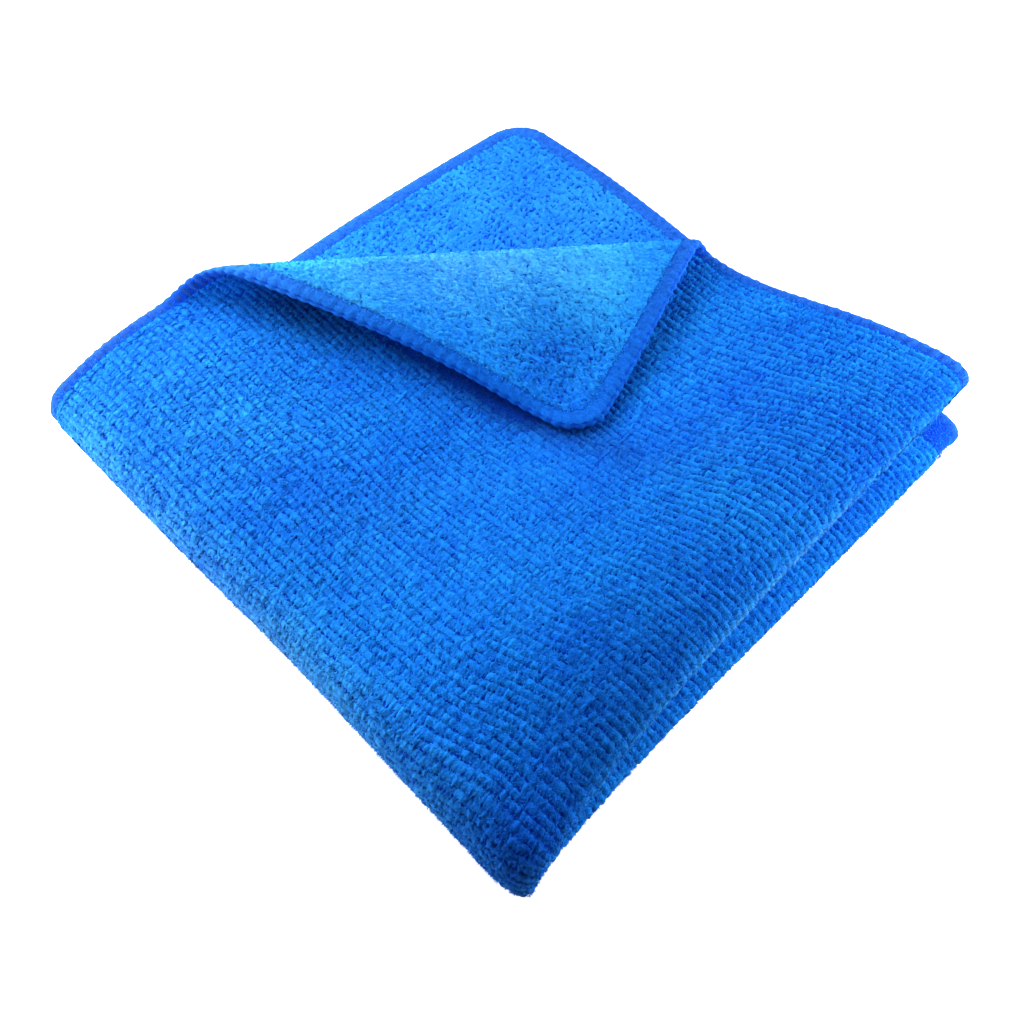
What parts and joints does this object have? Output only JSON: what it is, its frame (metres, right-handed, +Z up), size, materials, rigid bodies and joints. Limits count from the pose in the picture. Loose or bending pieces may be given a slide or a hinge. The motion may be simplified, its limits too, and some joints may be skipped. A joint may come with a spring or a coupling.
{
  "type": "folded microfibre cloth",
  "caption": "Blue microfibre cleaning cloth with an overlocked hem, folded in quarters, its top back corner turned over towards the front.",
  "frame": {"origin": "middle of the footprint, on the surface that the cloth rests on", "axes": "+Z up; the two first-fold edges lie along +X, the second fold's edge along -Y, the open hems along -X and +Y, so the front corner is at +X -Y and the turned-over corner is at -X +Y"},
  "size_m": [0.168, 0.1558, 0.0241],
  "materials": {
    "microfibre": "matt looped pile"
  },
  "bodies": {
    "root": {"cloth": "microfibre"}
  },
  "joints": []
}
